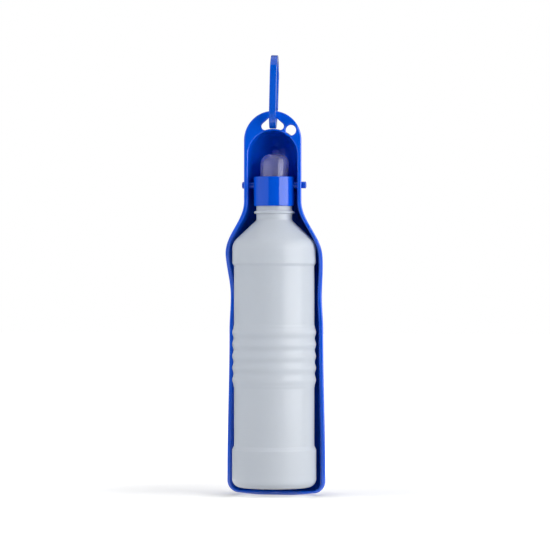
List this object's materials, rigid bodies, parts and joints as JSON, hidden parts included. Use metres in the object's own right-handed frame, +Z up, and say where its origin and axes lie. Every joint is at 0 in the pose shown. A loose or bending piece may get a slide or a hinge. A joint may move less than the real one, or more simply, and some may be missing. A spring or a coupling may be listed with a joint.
{
  "type": "pet travel water bottle",
  "caption": "Squeeze bottle nested in a folding drinking trough that turns on the screw cap's pins, with a soft nozzle and a snap hook through the trough's tab.",
  "frame": {"origin": "middle of the foot, the flat on the tray's lower end that the folded bottle stands on", "axes": "+Z up along the bottle to the hook, +X to the right across the tray between the two pivot pins, -Y towards the viewer on the tray's open side"},
  "size_m": [0.0738, 0.0701, 0.3232],
  "materials": {
    "tray_plastic": "glossy moulded blue polypropylene",
    "bottle_plastic": "milky, half clear blown polyethylene",
    "cap_plastic": "glossy moulded blue polypropylene",
    "clear_silicone": "clear soft silicone with a satin skin",
    "seal_silicone": "white soft silicone",
    "hook_plastic": "glossy moulded blue nylon",
    "steel": "plain drawn steel"
  },
  "bodies": {
    "tray": {"tray": "tray_plastic"},
    "cap": {"cap": "cap_plastic", "nozzle": "clear_silicone"},
    "seal": {"neck_seal": "seal_silicone"},
    "bottle": {"bottle": "bottle_plastic"},
    "hook": {"hook_body": "hook_plastic"},
    "gate": {"hook_gate": "hook_plastic", "gate_pin": "steel", "gate_spring": "steel"}
  },
  "joints": [
    {"name": "bottle_swing", "type": "hinge", "parent": "tray", "child": "cap", "pos_m": [0, -0.01645, 0.22802], "axis": [-1, 0, 0], "range_deg": [0, 120]},
    {"name": "bottle_travel", "type": "slide", "parent": "cap", "child": "seal", "axis": [0, 0, -1], "range_m": [0, 0.0027]},
    {"name": "bottle_turn", "type": "hinge", "parent": "seal", "child": "bottle", "pos_m": [0, -0.01645, 0.1], "axis": [0, 0, -1], "range_deg": [0, 360]},
    {"name": "hook_swing", "type": "hinge", "parent": "tray", "child": "hook", "pos_m": [0, -0.02185, 0.28132], "axis": [0.9885, 0.1477, -0.0314], "range_deg": [-85, 45]},
    {"name": "gate_open", "type": "hinge", "parent": "hook", "child": "gate", "pos_m": [-0.00136, -0.01193, 0.28532], "axis": [0.9885, 0.1477, -0.0314], "range_deg": [0, 28], "stiffness_Nm_per_rad": 0.02, "springref_deg": -17.19}
  ],
  "couplings": [
    {"joint": "bottle_travel", "follows": "bottle_turn", "m_per_rad": 0.00042972}
  ]
}
